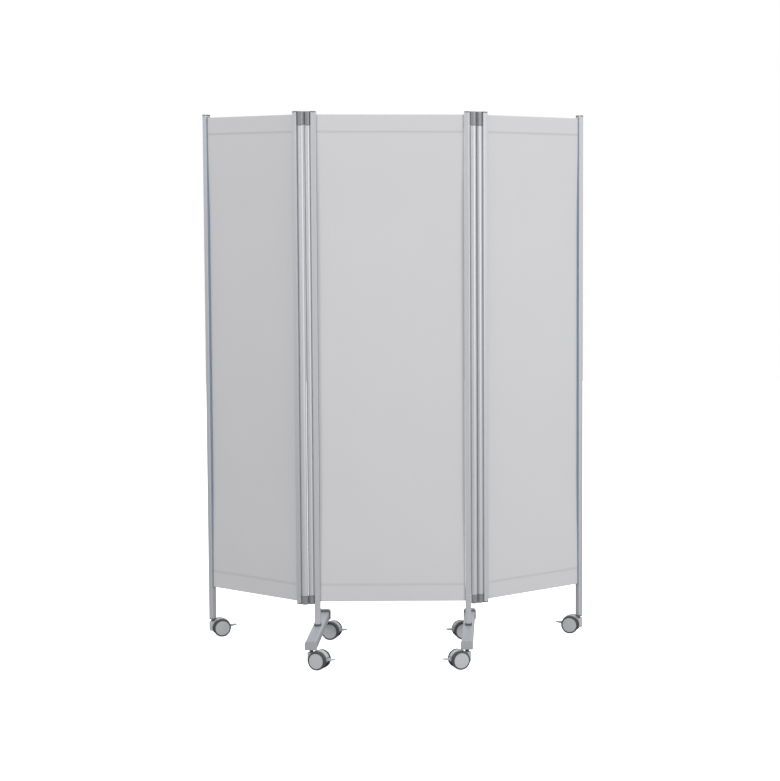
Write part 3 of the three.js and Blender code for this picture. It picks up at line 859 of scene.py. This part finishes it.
def sheetRows(back):
    s = sheetShape
    shares = hemBackShares if back else hemFrontShares
    rows = [(share * s["hem"], level * s["halfHem"]) for share, level in shares]
    offset = s["cloth"] if back else 0
    if back:
        flapEnd = s["hem"] + s["flap"]
        rows += [(flapEnd, rows[-1][1]), (flapEnd + s["flapEase"], clothFront(flapEnd) + offset)]
    start = hemFrontShares[-1][0] * s["hem"]
    count = s["easingSteps"]
    steps = [start + s["easing"] * step / count for step in range(1, count + 1)]
    rows += [(depth, clothFront(depth) + offset) for depth in steps]
    span = s["head"] - s["foot"]
    lower = [(s["foot"] + depth, y) for depth, y in rows]
    upper = [(s["head"] - depth, y) for depth, y in reversed(rows)]
    first, last = lower[-1][0], upper[0][0]
    count = max(2, round((last - first) / s["rowPitch"]))
    middle = [(first + (last - first) * step / count, lower[-1][1]) for step in range(1, count)]
    return lower + middle + upper


def sheetRipple(x, z, width):
    s = sheetShape
    seam = min(abs(z - s["foot"] - s["hem"]), abs(s["head"] - s["hem"] - z))
    near = math.exp(-(seam / s["puckerReach"]) ** 2)
    edge = min(1, (width / 2 - abs(x)) / s["edgeHold"])
    drift = s["puckerSwing"] * math.sin(x * s["puckerDrift"])
    gather = math.cos(2 * math.pi * x / s["puckerPitch"] + drift) * s["pucker"] * near
    broad = math.sin(x * s["waveAcross"] + s["waveStart"]) * math.sin((z - s["foot"]) * s["waveUp"])
    sway = broad + s["slantShare"] * math.sin(x * s["slantAcross"] + z * s["slantUp"])
    free = min(1, seam / s["seamHold"]) if s["foot"] + s["hem"] < z < s["head"] - s["hem"] else 0
    return max(0, edge) * (gather + s["wave"] * sway * free)


def pocketLoop(low, direction):
    s = sheetShape
    half = s["halfHem"] - s["cloth"]
    start = low + direction * s["cloth"]
    end = start + direction * s["pocket"]
    corner = s["pocketCorner"]
    shoulder, flat = corner * s["pocketEase"], half * s["pocketFlat"]
    return [(-half, start + direction * corner), (-half + corner, start), (half - corner, start),
            (half, start + direction * corner), (half, end - direction * shoulder),
            (flat, end), (-flat, end), (-half, end - direction * shoulder)]


def rimEdge(bm, loop, index):
    pair = (loop[index], loop[(index + 1) % len(loop)])
    return bm.edges.get(pair) or bm.edges.new(pair)


def clothMesh(width):
    front, back = ([(y, z) for z, y in sheetRows(side)] for side in (False, True))
    outline = front + list(reversed(back))
    pockets = [pocketLoop(sheetShape["foot"], 1), pocketLoop(sheetShape["head"], -1)]
    columns = round(width / sheetShape["columnPitch"])
    bm = bmesh.new()
    uv = bm.loops.layers.uv.new("clothMap")
    previous = None
    ends = []
    for column in range(columns + 1):
        x = -width / 2 + width * column / columns
        loops = []
        for loop, ripples in ((outline, True), (pockets[0], False), (pockets[1], False)):
            loops.append([bm.verts.new((x, y + (sheetRipple(x, z, width) if ripples else 0), z))
                          for y, z in loop])
        if previous is not None:
            for before, after in zip(previous, loops):
                joinRings(bm, before, after)
        if column in (0, columns):
            ends.append(loops)
        previous = loops
    bm.edges.ensure_lookup_table()
    for loops in ends:
        rim = [rimEdge(bm, loop, i) for loop in loops for i in range(len(loop))]
        bmesh.ops.triangle_fill(bm, edges=rim, use_beauty=True)
    bmesh.ops.recalc_face_normals(bm, faces=bm.faces)
    for face in bm.faces:
        for corner in face.loops:
            corner[uv].uv = (corner.vert.co.x, corner.vert.co.z)
    return bm


# Stitches: a Geometry Nodes tree sets small thread lumps at even steps along each seam line
stitchShape = {
    "pitch": 4.2 * mm, "length": 3.1 * mm, "thread": 0.42 * mm, "lift": 0.12 * mm, "inset": 5 * mm,
    "segments": 8, "rings": 6,
}


def stitchTree():
    tree = bpy.data.node_groups.new("stitchSeam", "GeometryNodeTree")
    sockets = {}
    tree.interface.new_socket("Seam", in_out="INPUT", socket_type="NodeSocketGeometry")
    for name in ("Pitch", "Stitch Length", "Thread Radius"):
        socket = tree.interface.new_socket(name, in_out="INPUT", socket_type="NodeSocketFloat")
        sockets[name] = socket.identifier
    tree.interface.new_socket("Stitches", in_out="OUTPUT", socket_type="NodeSocketGeometry")
    given = addNode(tree, "NodeGroupInput")
    line = addNode(tree, "GeometryNodeMeshToCurve", {"Mesh": given.outputs["Seam"]})
    spaced = addNode(tree, "GeometryNodeResampleCurve",
                     {"Curve": line.outputs["Curve"], "Length": given.outputs["Pitch"]}, mode="LENGTH")
    lump = addNode(tree, "GeometryNodeMeshUVSphere", {
        "Segments": stitchShape["segments"], "Rings": stitchShape["rings"], "Radius": 0.5,
    })
    size = addNode(tree, "ShaderNodeCombineXYZ", {
        "X": given.outputs["Stitch Length"], "Y": given.outputs["Thread Radius"],
        "Z": given.outputs["Thread Radius"],
    })
    stretched = addNode(tree, "GeometryNodeTransform",
                        {"Geometry": lump.outputs["Mesh"], "Scale": size.outputs["Vector"]})
    smooth = addNode(tree, "GeometryNodeSetShadeSmooth", {"Geometry": stretched.outputs["Geometry"]})
    placed = addNode(tree, "GeometryNodeInstanceOnPoints",
                     {"Points": spaced.outputs["Curve"], "Instance": smooth.outputs["Geometry"]})
    real = addNode(tree, "GeometryNodeRealizeInstances", {"Geometry": placed.outputs["Instances"]})
    coloured = addNode(tree, "GeometryNodeSetMaterial",
                       {"Geometry": real.outputs["Geometry"], "Material": finishes["stitchThread"]})
    made = addNode(tree, "NodeGroupOutput")
    tree.links.new(coloured.outputs["Geometry"], made.inputs["Stitches"])
    return tree, sockets


seamTree, seamSockets = stitchTree()


def addStitches(name, width, matrix, body):
    s = sheetShape
    faces = (dict(hemFrontShares)[1] * s["halfHem"] - stitchShape["lift"],
             dict(hemBackShares)[1] * s["halfHem"] + stitchShape["lift"])
    bm = bmesh.new()
    inset = stitchShape["inset"]
    for z in (s["foot"] + s["hem"], s["head"] - s["hem"]):
        for y in faces:
            ends = [bm.verts.new((x, y, z)) for x in (-width / 2 + inset, width / 2 - inset)]
            bm.edges.new(ends)
    mesh = bpy.data.meshes.new(name)
    bm.to_mesh(mesh)
    bm.free()
    piece = bpy.data.objects.new(name, mesh)
    scene.collection.objects.link(piece)
    modifier = piece.modifiers.new("stitches", "NODES")
    modifier.node_group = seamTree
    modifier[seamSockets["Pitch"]] = stitchShape["pitch"]
    modifier[seamSockets["Stitch Length"]] = stitchShape["length"]
    modifier[seamSockets["Thread Radius"]] = stitchShape["thread"] * 2
    applyModifiers(piece)
    piece.data.transform(matrix)
    return settle(piece, "stitchThread", body)


def addSheet(prefix, body, startPost, endPost):
    along = levelDirection(startPost, endPost)
    spacing = math.hypot(endPost.x - startPost.x, endPost.y - startPost.y)
    centre = (startPost + endPost) / 2
    width = spacing - 2 * sheetShape["postGap"]
    matrix = standAt(centre, along)
    cloth = looseObject(prefix + "Cloth", clothMesh(width), matrix)
    softenEdges(cloth, 0, angle=creaseAngle)
    settle(cloth, "coatedCloth", body, [prefix + "_sheet"])
    stitches = addStitches(prefix + "Stitches", width, matrix, body)


# From the post on the viewer's left to the one on the right, so that the straight layer is in front
addSheet("middle", "middle_panel", middlePosts["left"][0], middlePosts["right"][0])
addSheet("left_wing", "left_wing", wingPosts["left"][1], wingPosts["left"][0])
addSheet("right_wing", "right_wing", wingPosts["right"][0], wingPosts["right"][1])
print("sheets made")


# Casters
wheelShape = {
    "radius": 27.5 * mm, "inner": 8.5 * mm, "outer": 24 * mm, "hub": 22.7 * mm, "segments": 72,
}
tyreShares = [
    # radius as a share of the wheel's, distance across as a share of its width
    (0.84, 0), (0.93, 0.01), (0.985, 0.04), (1, 0.10), (1, 0.80), (0.995, 0.87), (0.982, 0.925),
    (0.955, 0.958), (0.91, 0.97), (0.865, 0.974), (0.838, 0.972), (0.826, 0.955), (0.826, 0.62),
    (0.84, 0.5),
]
hubShares = [
    # radius as a share of the hub's, distance across as a share of the wheel's width
    (0.2, 0.08), (0.97, 0.5), (1, 0.66), (1, 0.945), (0.985, 0.966), (0.955, 0.97), (0.93, 0.955),
    (0.915, 0.948), (0.88, 0.952), (0.5, 0.968), (0.12, 0.975), (0, 0.976), (0, 0.4), (0.2, 0.3),
]
washerShape = {
    "radius": 5.6 * mm, "low": 48.1 * mm, "segments": 40, "inside": 0.93, "chamfer": 0.6 * mm,
    "groove": 0.9, "grooveLow": 2.4 * mm, "grooveHigh": 1.2 * mm, "grooveSide": 0.4 * mm, "rim": 0.5 * mm,
}
housingShape = {
    "weld": 0.001 * mm, "voxel": 0.6 * mm, "softening": 0.5, "smoothing": 4, "stem": 18 * mm,
}
pedalShape = {
    "halfWidth": 5.2 * mm, "pivotReach": 19 * mm, "pivotRise": 1.5 * mm, "hub": 4 * mm,
    "tipReach": 50.6 * mm, "tipRise": 6.8 * mm, "tip": 4.6 * mm, "edge": 0.7 * mm, "cornerSteps": 5,
}


def wheelProfile(shares, radius):
    width = wheelShape["outer"] - wheelShape["inner"]
    return [(r * radius, wheelShape["inner"] + across * width) for r, across in shares]


def addWheel(prefix, side, matrix):
    wheel = prefix + "_wheel_" + side
    flip = Matrix.Rotation(math.pi, 4, "Z") if side == "b" else Matrix.Identity(4)
    place = matrix @ flip
    tyre = looseObject(wheel + "Tyre", latheMesh(wheelProfile(tyreShares, wheelShape["radius"]),
                                                 wheelShape["segments"]), place)
    softenEdges(tyre, 0, angle=creaseAngle)
    settle(tyre, "tyreRubber", wheel, [wheel])
    hub = looseObject(wheel + "Hub", latheMesh(wheelProfile(hubShares, wheelShape["hub"]),
                                               wheelShape["segments"]), place)
    softenEdges(hub, 0, angle=creaseAngle)
    settle(hub, "hubNylon", wheel)


def addHousing(prefix):
    node = prefix + "_caster_housing"
    mesh = nodes[node].data.copy()
    bm = bmesh.new()
    bm.from_mesh(mesh)
    bmesh.ops.remove_doubles(bm, verts=bm.verts, dist=housingShape["weld"])
    bm.to_mesh(mesh)
    bm.free()
    piece = bpy.data.objects.new(node + "Moulding", mesh)
    scene.collection.objects.link(piece)
    remesh = piece.modifiers.new("remesh", "REMESH")
    remesh.mode = "VOXEL"
    remesh.voxel_size = housingShape["voxel"]
    remesh.use_smooth_shade = True
    soften = piece.modifiers.new("soften", "SMOOTH")
    soften.factor = housingShape["softening"]
    soften.iterations = housingShape["smoothing"]
    applyModifiers(piece)
    settle(piece, "casterNylon", prefix + "_caster", [node])


def addWasher(prefix, matrix, high):
    w = washerShape
    radius, face, groove = w["radius"], w["radius"] * w["inside"], w["radius"] * w["groove"]
    grooveLow, grooveHigh = high - w["grooveLow"], high - w["grooveHigh"]
    profile = [
        (0, w["low"]), (face, w["low"]), (radius, w["low"] + w["chamfer"]),
        (radius, grooveLow), (groove, grooveLow + w["grooveSide"]),
        (groove, grooveHigh - w["grooveSide"]), (radius, grooveHigh),
        (radius, high - w["rim"]), (face, high), (0, high),
    ]
    turned = Matrix.Rotation(math.pi / 2, 4, "X")
    washer = looseObject(prefix + "SwivelWasher", latheMesh(profile, w["segments"]), matrix @ turned)
    softenEdges(washer, 0, angle=creaseAngle)
    settle(washer, "darkTrimAndPaintedShade", prefix + "_caster")


def pedalOutline(trail, axleHeight):
    s = pedalShape
    x, z = trail + s["pivotReach"], axleHeight + s["pivotRise"]
    tipX, tipZ = trail + s["tipReach"], axleHeight + s["tipRise"]
    hub, tip = s["hub"], s["tip"]
    return roundedOutline([
        (x - hub, z + hub, hub * 0.9), (x - hub, z - hub, hub * 0.9), (x + hub * 0.8, z - hub, hub * 0.8),
        (tipX - tip, tipZ - tip, tip * 2), (tipX, tipZ - tip * 0.8, tip * 0.4), (tipX, tipZ, tip * 0.4),
        (x + hub * 0.8, z + hub, hub * 0.8),
    ], s["cornerSteps"])


def addPedal(prefix, matrix, trail):
    node = prefix + "_brake_pedal"
    s = pedalShape
    outline = pedalOutline(trail, wheelShape["radius"])
    lever = prismMesh(outline, -s["halfWidth"], s["halfWidth"], crosswise)
    pedal = looseObject(node + "Lever", lever, matrix)
    softenEdges(pedal, s["edge"], 3, creaseAngle)
    settle(pedal, "pedalNylon", node, [node])


def addCaster(prefix):
    swivel = jointPlace(prefix + "_caster_swivel")
    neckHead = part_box(prefix + "_caster_housing")[1][2] - housingShape["stem"]
    axle = jointPlace(prefix + "_wheel_a_spin")
    along = levelDirection(swivel, axle)
    trail = math.hypot(axle.x - swivel.x, axle.y - swivel.y)
    atStem = standAt(swivel, along)
    atAxle = standAt(axle, along) @ Matrix.Translation((0, 0, axle.z))
    addHousing(prefix)
    addWasher(prefix, atStem, neckHead)
    for side in "ab":
        addWheel(prefix, side, atAxle)
    addPedal(prefix, atStem, trail)


for prefix in ("front_left", "rear_left", "front_right", "rear_right", "wing_left", "wing_right"):
    addCaster(prefix)
print("casters made")

# What still shows of the frame: the rails in the hems and the axles
for name, node in nodes.items():
    if name.endswith("_rail"):
        node.data.materials.clear()
        node.data.materials.append(finishes["railMetal"])
    if name.endswith("_axle"):
        node.data.materials.clear()
        node.data.materials.append(finishes["axleSteel"])
